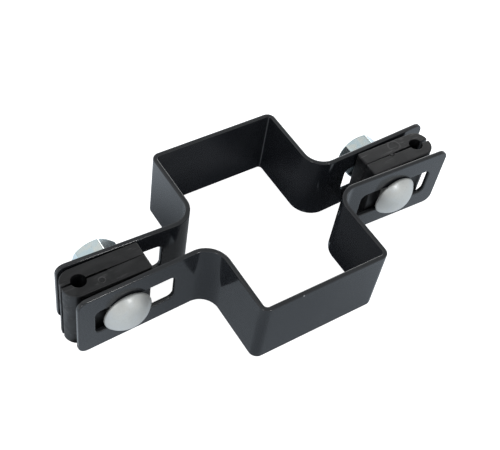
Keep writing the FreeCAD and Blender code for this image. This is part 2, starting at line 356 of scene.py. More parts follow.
@dataclass(frozen=True)
class Finish(ABC):
    """A surface finish and the record's material slot that it stands for.

    In every finish a span is where a pattern goes from 0 to 1, and a wear is its least and its added share.
    Heights of the skin are shares of relief_depth, in metres, and relief is how much of them shows.
    """

    slot: str
    made: ClassVar[dict[str, bpy.types.Material]] = {}
    relief_depth: ClassVar[float] = 0.00002

    @abstractmethod
    def surface(self, graph: Graph, place: Signal) -> dict:
        """Works out the shader's sockets.

        Args:
            graph: the material's graph.
            place: the point's place on the object.

        Returns:
            Values and signals, by socket name.
        """

    def material(self) -> bpy.types.Material:
        """Makes the finish's material, once.

        Returns:
            The material.
        """
        if self.slot not in self.made:
            material = bpy.data.materials.new(self.slot + "_finish")
            graph = Graph.cleared(material)
            shader = graph.add("ShaderNodeBsdfPrincipled", {}, self.surface(graph, graph.place()))
            graph.add("ShaderNodeOutputMaterial", {}, {"Surface": shader.out()})
            self.made[self.slot] = material
        return self.made[self.slot]


@dataclass(frozen=True)
class AnthracitePaint(Finish):
    """Smooth glossy stove paint on the folded strips, with a painted highlight line along the web bends."""

    slot: str = "anthracite_paint"
    shade: Triple = (0.0078, 0.0090, 0.0112)
    haze: Triple = (0.0110, 0.0124, 0.0146)
    thin: Triple = (0.0300, 0.0325, 0.0345)
    bend_highlight: Triple = (0.085, 0.090, 0.097)
    dust: Triple = (0.20, 0.205, 0.21)
    clouds: Pattern = Pattern(55.0, detail=4.0, stir=0.6)
    wipes: Pattern = Pattern(420.0, detail=3.0, stretch=(1.0, 1.0, 0.12))
    dusting: Specks = Specks(230.0, rare=0.98, size=0.035, spread=0.05)
    peel: Pattern = Pattern(620.0)
    grit: Pattern = Pattern(2600.0, detail=1.0)
    haze_span: Point = (0.35, 0.75)
    edge_wear: Point = (0.25, 0.5)
    bend_highlight_share: Point = (0.4, 0.6)
    rough: float = 0.07
    cloud_rough: float = 0.05
    cloud_span: Point = (0.3, 0.8)
    wipe_rough: float = 0.05
    wipe_span: Point = (0.45, 0.8)
    dust_rough: float = 0.35
    grit_share: float = 0.05
    relief: float = 0.12
    refraction: float = 1.5

    def surface(self, graph: Graph, place: Signal) -> dict:
        """Works out anthracite with faint handling haze, thin edges, a painted highlight along the web bends,
        dust and orange peel.

        Args:
            graph: the material's graph.
            place: the point's place on the object.

        Returns:
            Values and signals, by socket name.
        """
        rim = graph.attribute("rim").out("Fac")
        fold = graph.attribute("fold").out("Fac")
        cloud, wiped, dusty = self.clouds.on(place), self.wipes.on(place), self.dusting.on(place)
        tone = graph.blend(cloud.ramp(*self.haze_span), self.shade, self.haze)
        tone = graph.blend(rim * wiped.worn(*self.edge_wear), tone, self.thin)
        # painted highlight: a paler line down the middle of each web bend, where the points carry fold
        tone = graph.blend(fold * cloud.worn(*self.bend_highlight_share), tone, self.bend_highlight)
        tone = graph.blend(dusty, tone, self.dust)
        rough = self.rough + self.cloud_rough * cloud.ramp(*self.cloud_span)
        rough = rough + self.wipe_rough * wiped.ramp(*self.wipe_span) + self.dust_rough * dusty
        skin = self.peel.on(place) + self.grit_share * self.grit.on(place)
        return {
            "Base Color": tone,
            "Roughness": rough,
            "Normal": graph.relief(skin, self.relief_depth, self.relief),
            "IOR": self.refraction,
        }


@dataclass(frozen=True)
class BlackPlastic(Finish):
    """Moulded black plastic with a fine spark-eroded skin."""

    slot: str = "black_plastic"
    shade: Triple = (0.0040, 0.0043, 0.0048)
    worn: Triple = (0.0185, 0.0190, 0.0200)
    scuff_and_lip_highlight: Triple = (0.0850, 0.0835, 0.0850)
    flows: Pattern = Pattern(190.0, detail=4.0, stir=1.2, stretch=(0.5, 1.0, 1.0))
    skin: Pattern = Pattern(3600.0)
    scratches: Pattern = Pattern(1500.0, stir=0.4, stretch=(0.16, 1.0, 1.0), turn=(0.0, 0.0, 0.5))
    patches: Pattern = Pattern(130.0)
    marked_face: float = 0.97
    lip_highlight_span: Point = (0.0, 0.3)
    lip_highlight_flow_span: Point = (0.3, 0.6)
    rub_span: Point = (0.9, 3.2)
    patch_span: Point = (0.45, 0.65)
    scratch_span: Point = (0.54, 0.70)
    flow_span: Point = (0.42, 0.66)
    flow_share: float = 0.45
    edge_wear: Point = (0.35, 0.65)
    scuff_and_lip_highlight_share: float = 0.7
    rough: float = 0.34
    flow_rough: float = 0.20
    rough_span: Point = (0.35, 0.65)
    scuff_and_lip_highlight_rough: float = 0.12
    scuff_and_lip_highlight_rise: float = 0.4
    relief: float = 0.5
    refraction: float = 1.42

    def surface(self, graph: Graph, place: Signal) -> dict:
        """Works out near-black with worn edges, flow haze, short scuffs and a painted highlight on the rim of
        each mould mark.

        Args:
            graph: the material's graph.
            place: the point's place on the object.

        Returns:
            Values and signals, by socket name.
        """
        rim = graph.attribute("rim").out("Fac")
        mark = graph.split(graph.attribute("mark").out("Vector"))
        x, y = mark.out("X"), mark.out("Y")
        off = (x * x + y * y).root()
        marked = mark.out("Z") > self.marked_face
        # painted highlight: a paler ring on the rim of the mould mark, shown in the scuff tone with the real
        # scuffs
        lip = marked * (1.0 - abs(off - 1.0).ramp(*self.lip_highlight_span))
        rubbed = marked * (1.0 - off.ramp(*self.rub_span))
        flow = self.flows.on(place)
        patch = self.patches.on(place).ramp(*self.patch_span).most(rubbed)
        scratched = self.scratches.on(place).ramp(*self.scratch_span) * patch
        scuffs_and_lip_highlight = scratched.most(lip * flow.ramp(*self.lip_highlight_flow_span))
        tone = graph.blend(flow.ramp(*self.flow_span) * self.flow_share, self.shade, self.worn)
        tone = graph.blend(rim * flow.worn(*self.edge_wear), tone, self.worn)
        tone = graph.blend(scuffs_and_lip_highlight * self.scuff_and_lip_highlight_share, tone, self.scuff_and_lip_highlight)
        rough = self.rough + self.flow_rough * flow.ramp(*self.rough_span) + self.scuff_and_lip_highlight_rough * scuffs_and_lip_highlight
        skin = self.skin.on(place) + self.scuff_and_lip_highlight_rise * scuffs_and_lip_highlight
        return {
            "Base Color": tone,
            "Roughness": rough,
            "Normal": graph.relief(skin, self.relief_depth, self.relief),
            "IOR": self.refraction,
        }


@dataclass(frozen=True)
class PlatedSteel(Finish):
    """Zinc-plated steel, from satin to bright."""

    slot: str
    clear: Triple
    cool: Triple
    dull: Triple
    film: Triple
    metal: float
    rough: float
    crystal_rough: float
    relief: float
    clouds: Pattern = Pattern(150.0, detail=3.0, stir=0.8)
    films: Pattern = Pattern(210.0, stir=1.5)
    crystals: Pattern = Pattern(2400.0, detail=3.0)
    pits: Specks = Specks(900.0, rare=0.9, size=0.22)
    cool_span: Point = (0.35, 0.7)
    film_span: Point = (0.42, 0.72)
    dull_span: Point = (0.35, 0.9)
    dull_share: float = 0.3
    pit_share: float = 0.35
    rough_span: Point = (0.3, 0.8)
    pit_rough: float = 0.1
    crystal_rise: float = 0.5
    cloud_rise: float = 0.6
    pit_drop: float = 0.5
    coat: float = 0.8
    pit_coat: float = 0.4
    coat_rough: float = 0.25

    def surface(self, graph: Graph, place: Signal) -> dict:
        """Works out plating with clouded tint, fine crystals and small dull pits.

        Args:
            graph: the material's graph.
            place: the point's place on the object.

        Returns:
            Values and signals, by socket name.
        """
        cloud, crystal, pitted = self.clouds.on(place), self.crystals.on(place), self.pits.on(place)
        tone = graph.blend(cloud.ramp(*self.cool_span), self.clear, self.cool)
        tone = graph.blend(self.films.on(place).ramp(*self.film_span), tone, self.film)
        tone = graph.blend(crystal.ramp(*self.dull_span) * self.dull_share, tone, self.dull)
        tone = graph.blend(pitted * self.pit_share, tone, self.dull)
        rough = self.rough + self.crystal_rough * crystal.ramp(*self.rough_span) + self.pit_rough * pitted
        skin = self.crystal_rise * crystal + self.cloud_rise * cloud - self.pit_drop * pitted
        return {
            "Base Color": tone,
            "Metallic": self.metal,
            "Roughness": rough,
            "Normal": graph.relief(skin, self.relief_depth, self.relief),
            "Coat Weight": self.coat - self.pit_coat * pitted,
            "Coat Roughness": self.coat_rough,
        }


PAINT = AnthracitePaint()
PLASTIC = BlackPlastic()
BOLT_PLATING = PlatedSteel(
    slot="plated_bolt", clear=(0.56, 0.57, 0.55), cool=(0.525, 0.54, 0.525), dull=(0.45, 0.46, 0.45),
    film=(0.55, 0.57, 0.57), metal=0.65, rough=0.46, crystal_rough=0.10, relief=0.2,
)
NUT_PLATING = PlatedSteel(
    slot="plated_nut", clear=(0.68, 0.78, 0.79), cool=(0.59, 0.74, 0.79), dull=(0.52, 0.59, 0.60),
    film=(0.73, 0.78, 0.74), metal=1.0, rough=0.20, crystal_rough=0.08, relief=0.1,
)


# Mesh writing


class Shell:
    """Collects rings of points and the faces between them, in millimetres."""

    def __init__(self) -> None:
        """Starts an empty mesh with the values kept on its points."""
        self.bm = bmesh.new()
        self.rim = self.bm.verts.layers.float.new("rim")
        self.threaded = self.bm.verts.layers.float.new("threaded")
        # fold: 1 down the middle of the strips' web bends, where the paint shows a painted highlight line
        self.fold = self.bm.verts.layers.float.new("fold")

    def ring(self, points: Iterable[Sequence[float]], rim: float = 0.0, threaded: float = 0.0) -> Ring:
        """Adds a ring of points.

        Args:
            points: places in millimetres.
            rim: 1 on a rounded edge, 0 on a flat.
            threaded: 1 where a thread is cut.

        Returns:
            The new points.
        """
        made = []
        for place in points:
            vert = self.bm.verts.new(Vector(place) * MM)
            vert[self.rim] = rim
            vert[self.threaded] = threaded
            made.append(vert)
        return made

    def bridge(self, rings: list[Ring], closed: bool = False) -> None:
        """Joins rings of the same count, in order, with bands of faces.

        Args:
            rings: the rings.
            closed: whether the last is joined to the first.
        """
        following = rings[1:] + rings[:1] if closed else rings[1:]
        for first, second in zip(rings, following):
            for at in range(len(first)):
                after = (at + 1) % len(first)
                self.bm.faces.new((first[at], first[after], second[after], second[at]))

    def cap(self, rings: list[Ring]) -> None:
        """Closes the first and the last ring with a face each.

        Args:
            rings: the rings, from end to end.
        """
        for ring in (rings[0], rings[-1]):
            self.bm.faces.new(ring)

    def fan(self, ring: Ring, tip: Triple) -> None:
        """Closes a ring with a fan of faces to one point.

        Args:
            ring: the ring.
            tip: the point's place in millimetres.
        """
        (point,) = self.ring([tip])
        for at, vert in enumerate(ring):
            self.bm.faces.new((vert, ring[(at + 1) % len(ring)], point))

    def fill(self, loops: Sequence[Ring]) -> None:
        """Fills the flat between closed loops of points.

        Args:
            loops: the loops, whose points already have their edges.
        """
        edges = []
        for loop in loops:
            edges += [self.bm.edges.get((vert, loop[(at + 1) % len(loop)])) for at, vert in enumerate(loop)]
        bmesh.ops.triangle_fill(self.bm, use_beauty=True, use_dissolve=False, edges=edges)

    def mesh(self, name: str) -> bpy.types.Mesh:
        """Turns the collected faces into a mesh.

        Args:
            name: the mesh's name.

        Returns:
            The mesh, facing outwards and shaded smooth.
        """
        bmesh.ops.remove_doubles(self.bm, verts=self.bm.verts[:], dist=SAME_PLACE)
        bmesh.ops.recalc_face_normals(self.bm, faces=self.bm.faces[:])
        made = bpy.data.meshes.new(name)
        self.bm.to_mesh(made)
        self.bm.free()
        made.shade_smooth()
        return made


def quarter_turns(steps: int) -> list[float]:
    """Angles from 0 to a quarter turn, in even steps."""
    return [QUARTER * step / steps for step in range(steps + 1)]


def arc(centre: Point, radius: float, start: float, stop: float, steps: int) -> list[Point]:
    """Points along an arc.

    Args:
        centre: the arc's centre.
        radius: its radius.
        start: first angle, in radians.
        stop: last angle.
        steps: number of runs.

    Returns:
        The points, both ends among them.
    """
    angles = [start + (stop - start) * step / steps for step in range(steps + 1)]
    return [(centre[0] + radius * math.cos(angle), centre[1] + radius * math.sin(angle)) for angle in angles]


def circle(centre: Point, radius: float, steps: int) -> list[Point]:
    """Points round a circle."""
    return arc(centre, radius, 0.0, math.tau, steps)[:-1]


def link(name: str, data: bpy.types.ID) -> bpy.types.Object:
    """Puts a mesh, camera or light into the scene.

    Args:
        name: the object's name.
        data: what it shows.

    Returns:
        The object, at the origin.
    """
    made = bpy.data.objects.new(name, data)
    bpy.context.scene.collection.objects.link(made)
    return made


def settle(piece: bpy.types.Object) -> None:
    """Applies a piece's modifiers to a plain mesh of its own.

    Args:
        piece: the piece.
    """
    depsgraph = bpy.context.evaluated_depsgraph_get()
    plain = bpy.data.meshes.new_from_object(piece.evaluated_get(depsgraph))
    piece.modifiers.clear()
    piece.data = plain


def crease(mesh: bpy.types.Mesh, angle: float) -> None:
    """Marks the edges that are sharper than an angle, so that shading breaks there.

    Args:
        mesh: the mesh.
        angle: in degrees.
    """
    bm = bmesh.new()
    bm.from_mesh(mesh)
    for edge in bm.edges:
        if len(edge.link_faces) == 2:
            edge.smooth = edge.calc_face_angle(0.0) < math.radians(angle)
    bm.to_mesh(mesh)
    bm.free()


def hand_over(piece: bpy.types.Object, node: str, finish: Finish) -> None:
    """Parents a finished piece to the body and hides the CAD node that it stands for.

    Args:
        piece: the piece, in its place.
        node: the CAD node that it stands for.
        finish: not used.
    """
    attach(piece, BODY)
    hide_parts(node)
    LOG.info("%s: %d faces", piece.name, len(piece.data.polygons))


# Shop tools as Geometry Nodes


class ShopTool(ABC):
    """A Geometry Nodes tree that works on a blank, built once."""

    name: str
    sizes: tuple[str, ...]

    @abstractmethod
    def work(self, graph: Graph, given: Callable[[str], Signal], place: Made) -> Signal:
        """Moves the blank's points.

        Args:
            graph: the tree's graph.
            given: gives an input by name.
            place: the point's place, split into x, y and z.

        Returns:
            The points' new place.
        """

    def tree(self) -> bpy.types.NodeTree:
        """Builds the tool's tree with its named inputs, once.

        Returns:
            The tree.
        """
        tree = bpy.data.node_groups.get(self.name)
        if tree is not None:
            return tree
        tree = bpy.data.node_groups.new(self.name, "GeometryNodeTree")
        sockets = {"Geometry": "NodeSocketGeometry"}
        sockets.update({size: "NodeSocketFloat" for size in self.sizes})
        sockets["Finish"] = "NodeSocketMaterial"
        for name, kind in sockets.items():
            tree.interface.new_socket(name=name, in_out="INPUT", socket_type=kind)
        tree.interface.new_socket(name="Geometry", in_out="OUTPUT", socket_type="NodeSocketGeometry")
        graph = Graph(tree)
        given = graph.add("NodeGroupInput").out
        place = graph.split(graph.add("GeometryNodeInputPosition").out())
        moved = self.work(graph, given, place)
        shaped = graph.add("GeometryNodeSetPosition", {}, {"Geometry": given("Geometry"), "Position": moved})
        real = graph.add("GeometryNodeRealizeInstances", {}, {"Geometry": shaped.out()})
        worn = graph.add("GeometryNodeSetMaterial", {}, {"Geometry": real.out(), "Material": given("Finish")})
        graph.add("NodeGroupOutput", {}, {"Geometry": worn.out()})
        return tree

    def use(self, piece: bpy.types.Object, finish: Finish, **sizes: float) -> None:
        """Works on a piece and leaves it as a plain mesh.

        Args:
            piece: the blank.
            finish: what it wears.
            sizes: the tool's inputs, with _ for each blank in their names.
        """
        modifier = piece.modifiers.new(self.name, "NODES")
        modifier.node_group = self.tree()
        values = {key.replace("_", " "): value for key, value in sizes.items()}
        values["Finish"] = finish.material()
        for item in modifier.node_group.interface.items_tree:
            if item.in_out == "INPUT" and item.name in values:
                modifier[item.identifier] = values[item.name]
        settle(piece)


class FoldingPress(ShopTool):
    """Folds a flat strip, drawn along X, twice on each side into a hat."""

    name = "folding_press"
    sizes = ("web start", "web bend", "root start", "root bend", "root angle", "web place", "turned")

    @staticmethod
    def fold(
        along: Signal, off: Signal, start: Signal, radius: Signal, full: Value, way: float
    ) -> tuple[Signal, Signal]:
        """Bends everything past a line.

        Args:
            along: distance along the strip.
            off: distance off its middle surface.
            start: where the bend starts.
            radius: the middle surface's radius in the bend.
            full: the angle of the whole bend, in radians.
            way: 1 to bend towards growing off, -1 away.

        Returns:
            The new along and off.
        """
        angle = ((along - start) / radius).most(0.0).least(full)
        past = (along - start - radius * full).most(0.0)
        sine, cosine = angle.sine(), angle.cosine()
        new_along = along.least(start) + radius * sine + past * cosine - off * sine * way
        new_off = (radius * (1.0 - cosine) + past * sine) * way + off * cosine
        return new_along, new_off

    def work(self, graph: Graph, given: Callable[[str], Signal], place: Made) -> Signal:
        """Folds the flange roots first and then the web's edges.

        Args:
            graph: the tree's graph.
            given: gives an input by name.
            place: the point's place, split into x, y and z.

        Returns:
            The points' new place.
        """
        x, y = place.out("X"), place.out("Y")
        along, off = self.fold(abs(x), y, given("root start"), given("root bend"), given("root angle"), -1.0)
        along, off = self.fold(along, off, given("web start"), given("web bend"), QUARTER, 1.0)
        new_x = along * x.sign() * given("turned")
        new_y = (off + given("web place")) * given("turned")
        return graph.add("ShaderNodeCombineXYZ", {}, {"X": new_x, "Y": new_y, "Z": place.out("Z")}).out()


class ThreadDie(ShopTool):
    """Cuts a screw thread along Y into the points that are marked threaded."""

    name = "thread_die"
    sizes = ("axis x", "axis z", "pitch", "depth", "first", "last", "run out")
    crest = 0.14
    flank = 0.72
    least_reach = 1e-6

    def work(self, graph: Graph, given: Callable[[str], Signal], place: Made) -> Signal:
        """Draws the marked points towards the axis along a helix.

        Args:
            graph: the tree's graph.
            given: gives an input by name.
            place: the point's place, split into x, y and z.

        Returns:
            The points' new place.
        """
        x, y, z = place.out("X") - given("axis x"), place.out("Y"), place.out("Z") - given("axis z")
        turn = y / given("pitch") + z.angle_over(x) / math.tau
        slope = abs(2.0 * turn.fraction() - 1.0)
        groove = 1.0 - ((slope - self.crest) / self.flank).most(0.0).least(1.0)
        enters = (y - given("first")).ramp(0.0, given("run out"))
        leaves = (given("last") - y).ramp(0.0, given("run out"))
        marked = graph.add("GeometryNodeInputNamedAttribute", {"data_type": "FLOAT"}, {"Name": "threaded"})
        cut = given("depth") * groove * (enters * leaves) * marked.out("Attribute")
        kept = 1.0 - cut / (x * x + z * z).root().most(self.least_reach)
        moved = {"X": x * kept + given("axis x"), "Y": y, "Z": z * kept + given("axis z")}
        return graph.add("ShaderNodeCombineXYZ", {}, moved).out()


PRESS = FoldingPress()
DIE = ThreadDie()


# The folded strips


@dataclass
class FoldedStrip:
    """One hat-shaped strip with two slotted flanges."""

    side: Side
    finish: Finish = PAINT
    thick: float = 1.5
    post_half: float = 20.5
    web_bend: float = 1.2
    root_bend: float = 6.0
    flange_near: float = 4.55
    flange_far: float = 6.0
    corner: float = 3.0
    slot_near: float = 34.3
    long_slot_near: float = 32.5
    slot_far: float = 59.7
    slot_low: float = 7.0
    slot_high: float = 17.0
    slot_corner: float = 1.8
    edge: float = 0.42
    edge_guard: float = 0.07
    # half-width of the painted highlight line along each web bend
    bend_highlight_width: float = 0.4
    web_steps: int = 6
    leg_steps: int = 4
    bend_steps: int = 20
    corner_steps: int = 12
    slot_steps: int = 8
    edge_steps: int = 5

    def __post_init__(self) -> None:
        """Takes the outer sizes from the CAD node and works out the flat blank."""
        self.node = f"{self.side.word}_bracket"
        low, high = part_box(self.node)
        half = self.thick / 2
        self.half_length = high.x / MM
        self.width = high.z / MM
        self.leg = self.post_half + half
        self.web = max(-low.y, high.y) / MM - half
        self.web_round = self.web_bend + half
        self.root_round = self.root_bend + half
        self.web_start = self.leg - self.web_round
        slope = (self.flange_far - self.flange_near) / (self.half_length - self.post_half)
        self.splay = math.atan(slope)
        self.root_angle = QUARTER + self.splay
        self.root_reach = self.root_round * math.tan(self.root_angle / 2)
        root = self.flange_near + slope * half + half
        leg_run = self.web - self.web_round - root - self.root_reach
        self.root_start = self.web_start + self.web_round * QUARTER + leg_run
        self.flange_start = self.root_start + self.root_round * self.root_angle

    def flat(self, x: float) -> float:
        """Distance along the flat blank of a place on the flange."""
        return self.flange_start + (x - self.leg) / math.cos(self.splay) - self.root_reach

    def stations(self) -> list[float]:
        """Spaces the points of the blank's long edges.

        Returns:
            Places along the blank, from flange to flange.
        """
        web_arc = self.web_round * QUARTER
        leg_run = self.root_start - self.web_start - web_arc
        runs = (
            (0.0, self.web_start, self.web_steps),
            (self.web_start, web_arc, self.bend_steps),
            (self.web_start + web_arc, leg_run, self.leg_steps),
            (self.root_start, self.root_round * self.root_angle, self.bend_steps),
        )
        half = []
        for start, length, steps in runs:
            half += [start + length * step / steps for step in range(1, steps + 1)]
        return [-place for place in reversed(half)] + [0.0] + half

    @staticmethod
    def rounded(along: float, height: float, radius: float, start: float, steps: int) -> list[EdgePoint]:
        """Draws a rounded corner.

        Args:
            along: the rounding's centre along the blank.
            height: the centre's height.
            radius: the rounding's radius.
            start: the first angle, in radians.
            steps: number of runs.

        Returns:
            Place along, height and outward direction of each point.
        """
        points = []
        for turn in quarter_turns(steps):
            across, up = math.cos(start + turn), math.sin(start + turn)
            points.append((along + radius * across, height + radius * up, across, up))
        return points

    def outline(self) -> tuple[list[EdgePoint], int, int]:
        """Draws the blank's outline with its outward directions.

        Returns:
            The points (place along, height and direction), the count of stations, and the count in an end.
        """
        stations = self.stations()
        along = self.flat(self.half_length) - self.corner
        points = []
        for height, angle in ((self.corner, -QUARTER), (self.width - self.corner, 0.0)):
            points += self.rounded(along, height, self.corner, angle, self.corner_steps)
        bottom = [(place, 0.0, 0.0, -1.0) for place in stations]
        top = [(place, self.width, 0.0, 1.0) for place in reversed(stations)]
        other = [(-place, self.width - height, -across, -up) for place, height, across, up in points]
        return bottom + points + top + other, len(stations), len(points)

    def slot_outline(self, way: int) -> list[EdgePoint]:
        """Draws one slot's outline, with directions into the slot.

        Args:
            way: 1 for the flange along +X of the blank, -1 for the other.

        Returns:
            Place along, height and direction of each point.
        """
        radius = self.slot_corner
        near = self.flat(self.long_slot_near if way > 0 else self.slot_near) + radius
        far = self.flat(self.slot_far) - radius
        low, high = self.slot_low + radius, self.slot_high - radius
        corners = ((far, low, -QUARTER), (far, high, 0.0), (near, high, QUARTER), (near, low, math.pi))
        points = []
        for along, height, angle in corners:
            corner = self.rounded(along, height, radius, angle, self.slot_steps)
            points += [(way * place, level, -way * across, -up) for place, level, across, up in corner]
        return points

    def section(self) -> list[Triple]:
        """Draws the section round a cut edge, from one face of the sheet to the other.

        Returns:
            Inset from the outline, place through the thickness and rim value, for each ring.
        """
        half = self.thick / 2
        rows = [(self.edge + self.edge_guard, 0.0, 0.0)]
        for turn in quarter_turns(self.edge_steps):
            rows.append((self.edge * (1 - math.sin(turn)), self.edge * (1 - math.cos(turn)), math.sin(turn)))
        low = [(inset, depth - half, rim) for inset, depth, rim in rows]
        return low + [(inset, -through, rim) for inset, through, rim in reversed(low)]

    def blank(self) -> bpy.types.Mesh:
        """Makes the flat strip with rounded edges, before folding.

        Returns:
            The strip's mesh.
        """
        shell = Shell()
        outline, count, tail = self.outline()
        rings = []
        for loop in (outline, self.slot_outline(1), self.slot_outline(-1)):
            rows = [
                shell.ring([(s - ns * inset, through, z - nz * inset) for s, z, ns, nz in loop], rim)
                for inset, through, rim in self.section()
            ]
            shell.bridge(rows)
            rings.append(rows)
        # fold marks the middle of each web bend for the painted highlight line
        middle = self.web_start + self.web_round * QUARTER / 2
        for vert, (along, *_) in zip(rings[0][-1], outline):
            vert[shell.fold] = max(0.0, 1.0 - abs(abs(along) - middle) / self.bend_highlight_width)
        top = count + tail
        for face in (0, -1):
            outer, right, left = (rows[face] for rows in rings)
            for at in range(count - 1):
                above = top + count - 1 - at
                shell.bm.faces.new((outer[at], outer[at + 1], outer[above - 1], outer[above]))
            shell.fill([outer[count - 1:top + 1], right])
            shell.fill([outer[top + count - 1:] + outer[:1], left])
        return shell.mesh(self.node + "_skin")

    def build(self) -> None:
        """Folds the blank, and hands the piece over."""
        piece = link(self.node + "_painted", self.blank())
        PRESS.use(
            piece, self.finish,
            web_start=self.web_start * MM, web_bend=self.web_round * MM, root_start=self.root_start * MM,
            root_bend=self.root_round * MM, root_angle=self.root_angle, web_place=-self.web * MM,
            turned=float(-self.side.value),
        )
        hand_over(piece, self.node, self.finish)


# The clamp blocks


@dataclass
class ClampHalf:
    """One half of a moulded clamp block, drawn outwards from its bolt."""

    end: End
    side: Side
    bolt_x: float
    finish: Finish = PLASTIC
    inner: float = 9.1
    tip: float = 16.1
    bore_x: float = 11.0
    bore: float = 2.25
    slit: float = 0.35
    slit_start: float = 2.6
    shut: float = 0.08
    ajar: float = 0.17
    mouth: float = 0.5
    mouth_depth: float = 0.7
    nose_flat: float = 0.1
    rib_x: float = 1.1
    rib: float = 0.65
    groove: float = 0.85
    rib_length: float = 7.0
    rib_top: tuple[Point, ...] = ((1.0, -0.12), (0.86, -0.03))
    groove_top: tuple[Point, ...] = ((1.0, -0.1), (1.25, 0.15))
    corner: float = 0.6
    outer_edge: float = 0.4
    inner_edge: float = 0.12
    edge_guard: float = 0.05
    wall_guard: float = 1.5
    hole: float = 4.3
    hole_start: float = -2.0
    seat_floor: float = 1.7
    cut_past: float = 1.0
    mark_y: float = 2.6
    mark_deep: float = 0.2
    mark_taper: float = 0.16
    mark_flare: float = 0.3
    crease_angle: float = 32.0
    edge_steps: int = 5
    bore_steps: int = 40
    nose_steps: int = 20
    corner_steps: int = 8
    rib_steps: int = 32
    hole_steps: int = 64
    mark_steps: int = 48
    straight: ClassVar[float] = 0.02
    marks: ClassVar[dict[Side, Point]] = {Side.FRONT: (5.3, 0.95), Side.REAR: (3.9, 1.9)}

    def __post_init__(self) -> None:
        """Takes the heights and the place across from the CAD nodes of the block."""
        name = f"{self.end.word}_block_"
        self.node = name + self.side.word
        front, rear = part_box(name + "front")[0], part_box(name + "rear")[1]
        self.low, self.high = front.z / MM, rear.z / MM
        self.face = (rear.y - front.y) / 2 / MM
        self.lean = (rear.y + front.y) / 2 / MM
        self.nose = self.face - self.mouth - self.nose_flat
        self.mark_x, self.mark = self.marks[self.side]

    def place(self, x: float, y: float, z: float) -> Triple:
        """Puts a place on the moulding, drawn for a rear half on the right, in the object's frame.

        Args:
            x: from the bolt towards the panel.
            y: from the split plane outwards.
            z: height; the block on the left is turned over.

        Returns:
            The place.
        """
        height = z if self.end is End.RIGHT else self.low + self.high - z
        return self.bolt_x + self.end.value * x, self.lean + self.side.value * y, height

    def outline(self) -> tuple[list[Point], list[float]]:
        """Draws the half's outline seen from above, anticlockwise.

        Returns:
            Its points, and the rounding of the run that starts at each.
        """
        opening = math.asin(self.slit / self.bore)
        mating = [(-self.inner, self.shut), (self.slit_start, self.ajar), (self.slit_start, self.slit)]
        mating += arc((self.bore_x, 0.0), self.bore, math.pi - opening, opening, self.bore_steps)
        mating += [(self.tip - self.mouth_depth, self.slit)]
        outer = [(self.tip, self.mouth)]
        front = (self.tip - self.nose, self.face - self.nose)
        outer += arc(front, self.nose, 0.0, QUARTER, self.nose_steps)
        back = (self.corner - self.inner, self.face - self.corner)
        outer += arc(back, self.corner, QUARTER, math.pi, self.corner_steps)
        edges = [self.inner_edge] * len(mating) + [self.outer_edge] * len(outer)
        return mating + outer, edges

    def inset(self, points: list[Point], edges: list[float], share: float, extra: float) -> list[Point]:
        """Moves the outline inwards, run by run.

        Args:
            points: the outline, anticlockwise.
            edges: the rounding of the run after each point.
            share: the part of each rounding to move by.
            extra: a further move, the same for all.

        Returns:
            The moved points.
        """
        runs = []
        for (x0, y0), (x1, y1), edge in zip(points, points[1:] + points[:1], edges):
            length = math.hypot(x1 - x0, y1 - y0)
            dx, dy = (x1 - x0) / length, (y1 - y0) / length
            move = edge * share + extra
            runs.append((x0 - dy * move, y0 + dx * move, dx, dy, move))
        moved = []
        for at, (x, y) in enumerate(points):
            ax, ay, adx, ady, amove = runs[at - 1]
            bx, by, bdx, bdy, bmove = runs[at]
            cross = adx * bdy - ady * bdx
            if abs(cross) > self.straight:
                along = ((bx - ax) * bdy - (by - ay) * bdx) / cross
                moved.append((ax + adx * along, ay + ady * along))
            else:
                move = (amove + bmove) / 2
                moved.append((x - (ady + bdy) / 2 * move, y + (adx + bdx) / 2 * move))
        return moved

    def moulding(self) -> bpy.types.Mesh:
        """Makes the half with rounded rims, before its holes.

        Returns:
            The half's mesh.
        """
        shell = Shell()
        points, edges = self.outline()
        section = [(1.0, self.edge_guard, 0.0, 0.0)]
        for turn in quarter_turns(self.edge_steps):
            section.append((1 - math.sin(turn), 0.0, 1 - math.cos(turn), math.sin(turn)))
        section.append((0.0, 0.0, self.wall_guard, 0.0))
        rings = []
        for level, way, rows in ((self.low, 1, section), (self.high, -1, section[::-1])):
            for share, extra, rise, rim in rows:
                flat = self.inset(points, edges, share, extra)
                heights = [level + way * rise * max(edges[at], edges[at - 1]) for at in range(len(points))]
                rings.append(shell.ring([self.place(x, y, z) for (x, y), z in zip(flat, heights)], rim))
        shell.bridge(rings)
        shell.cap(rings)
        return shell.mesh(self.node + "_skin")

    def tool(self, name: str, rings: Sequence[Sequence[Triple]]) -> bpy.types.Object:
        """Makes a closed solid for the mould, drawn as the half is.

        Args:
            name: what the solid shapes.
            rings: its rings of places, from end to end.

        Returns:
            The solid.
        """
        shell = Shell()
        made = [shell.ring([self.place(*point) for point in ring]) for ring in rings]
        shell.bridge(made)
        shell.cap(made)
        return link(f"{self.node}_{name}", shell.mesh(f"{self.node}_{name}"))

